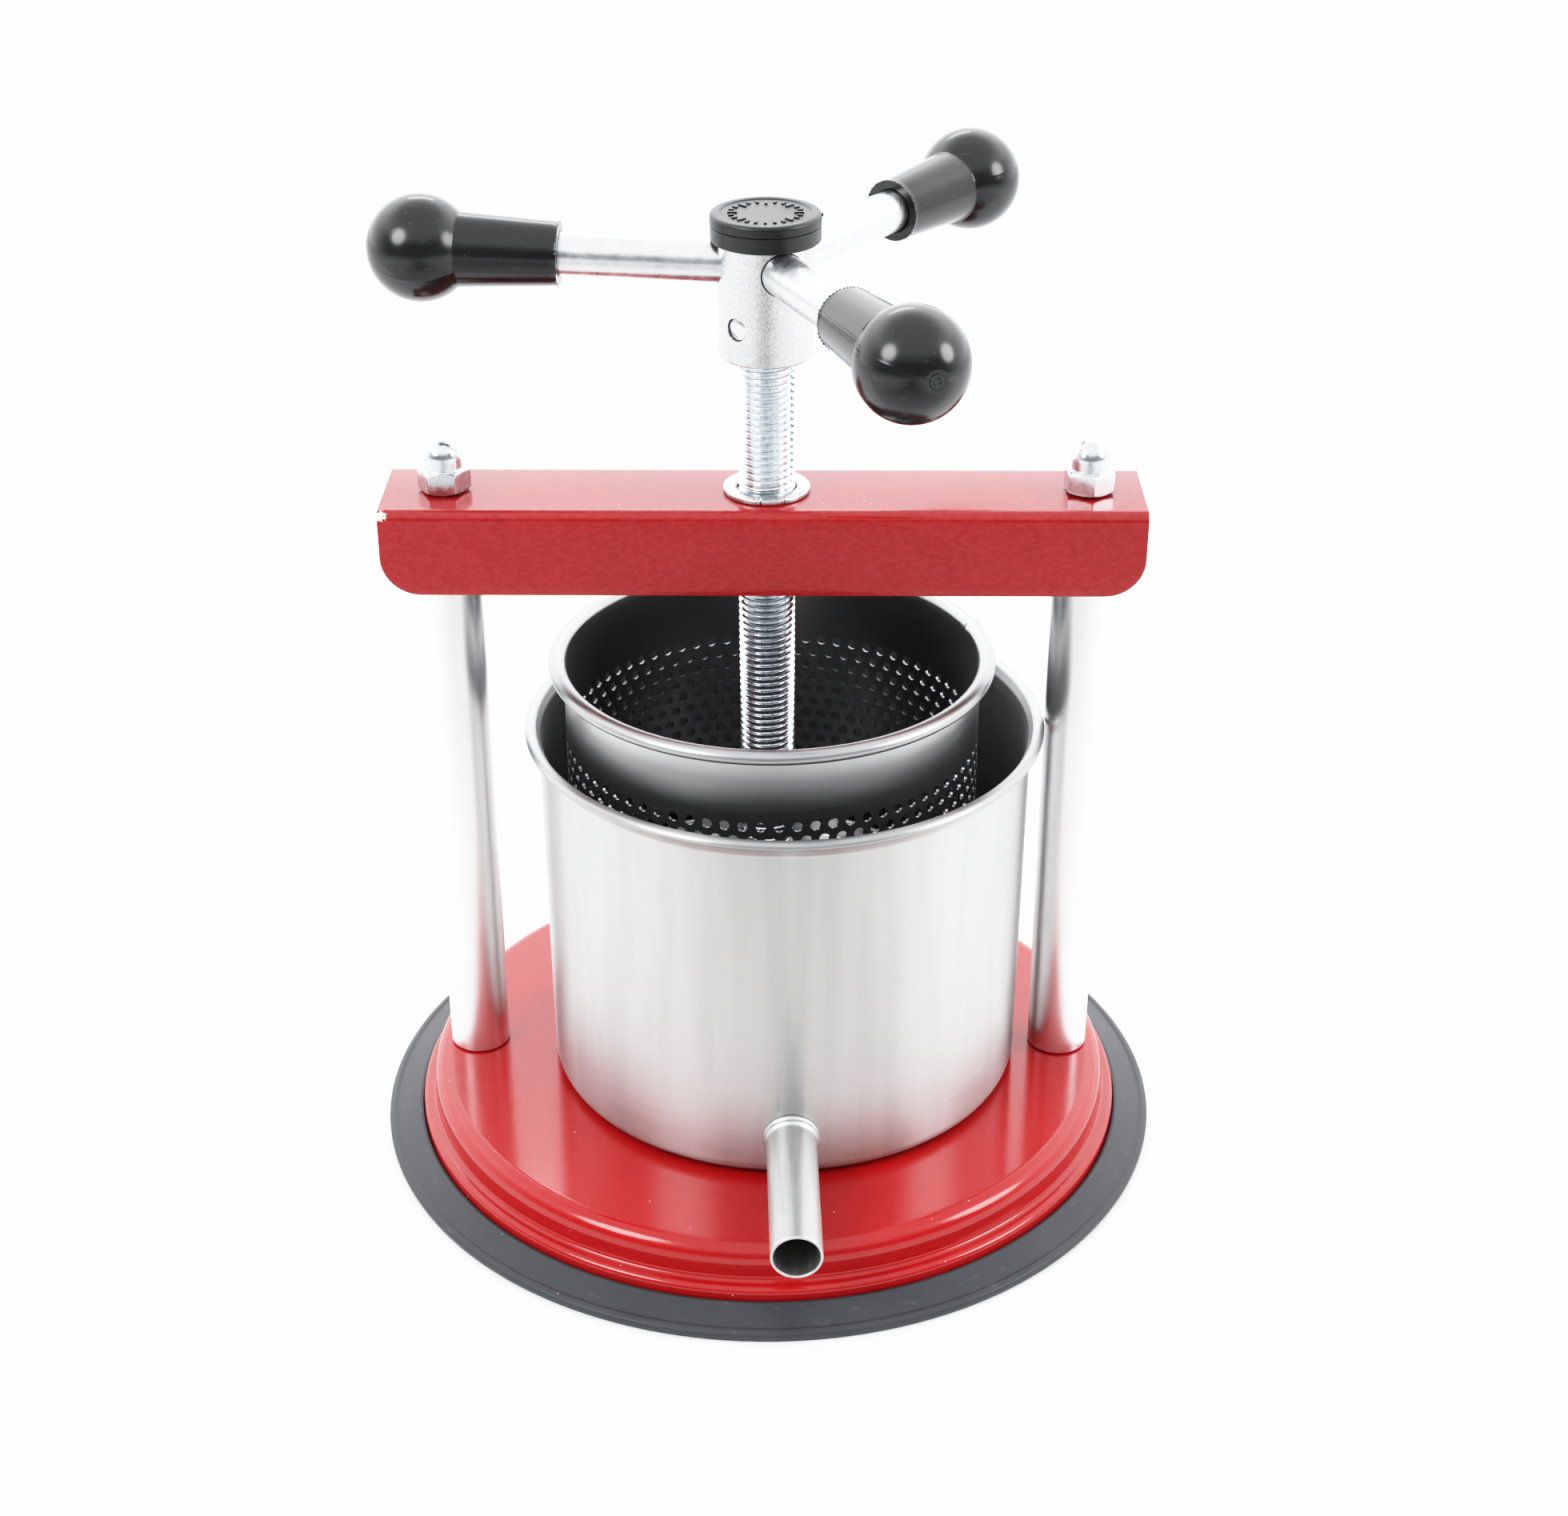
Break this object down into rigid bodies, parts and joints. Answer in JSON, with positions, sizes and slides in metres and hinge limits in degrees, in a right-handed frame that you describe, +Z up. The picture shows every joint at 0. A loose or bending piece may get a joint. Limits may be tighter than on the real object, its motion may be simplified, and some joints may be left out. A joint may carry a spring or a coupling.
{
  "type": "basket wine press",
  "caption": "Tabletop basket press: screw with three ball-ended arms drives a plate into a perforated basket that stands in a spouted pot on a round base.",
  "frame": {"origin": "middle of the round base, on the surface that the press stands on", "axes": "+Z up along the screw, beam along X, spout towards -Y"},
  "size_m": [0.2376, 0.2419, 0.2878],
  "materials": {
    "red_enamel": "glossy red powder coat with a slight orange peel",
    "rubber": "dark grey, satin",
    "aluminium": "polished tube",
    "bright_zinc": "bright zinc plate, bluish",
    "stainless": "fine brushed stainless steel",
    "gloss_black": "moulded, glossy black",
    "satin_black": "moulded, satin black"
  },
  "bodies": {
    "frame": {"base_ring": "rubber", "base_pan": "red_enamel", "column_left": "aluminium", "column_right": "aluminium", "tie_rod_left": "bright_zinc", "tie_rod_right": "bright_zinc", "cap_nut_left": "bright_zinc", "cap_nut_right": "bright_zinc", "foot_washer_left": "bright_zinc", "foot_washer_right": "bright_zinc", "foot_nut_left": "bright_zinc", "foot_nut_right": "bright_zinc", "crossbeam": "red_enamel", "nut_bush": "bright_zinc"},
    "pot_body": {"pot": "stainless", "pot_spout": "stainless"},
    "basket_body": {"basket": "stainless", "basket_floor": "stainless"},
    "plate_body": {"press_plate": "stainless", "plate_boss": "bright_zinc", "boss_pin": "bright_zinc"},
    "screw_body": {"press_screw": "bright_zinc", "handle_hub": "bright_zinc", "hub_pin": "bright_zinc", "hub_cap": "satin_black", "handle_rod_1": "bright_zinc", "handle_rod_2": "bright_zinc", "handle_rod_3": "bright_zinc", "ball_grip_1": "gloss_black", "ball_grip_2": "gloss_black", "ball_grip_3": "gloss_black"}
  },
  "joints": [
    {"name": "press_slide", "type": "slide", "parent": "frame", "child": "plate_body", "axis": [0, 0, 1], "range_m": [-0.0375, 0.1]},
    {"name": "screw_turn", "type": "hinge", "parent": "plate_body", "child": "screw_body", "pos_m": [0, 0, 0.07], "axis": [0, 0, 1], "range_deg": [-6745, 17995]},
    {"name": "pot_turn", "type": "hinge", "parent": "frame", "child": "pot_body", "pos_m": [0.005, 0, 0.021], "axis": [0, 0, 1], "range_deg": [-80, 75]},
    {"name": "basket_turn", "type": "hinge", "parent": "frame", "child": "basket_body", "pos_m": [0.0014, 0, 0.0223], "axis": [0, 0, 1], "continuous": true}
  ],
  "couplings": [
    {"joint": "press_slide", "follows": "screw_turn", "m_per_rad": 0.00031831}
  ]
}
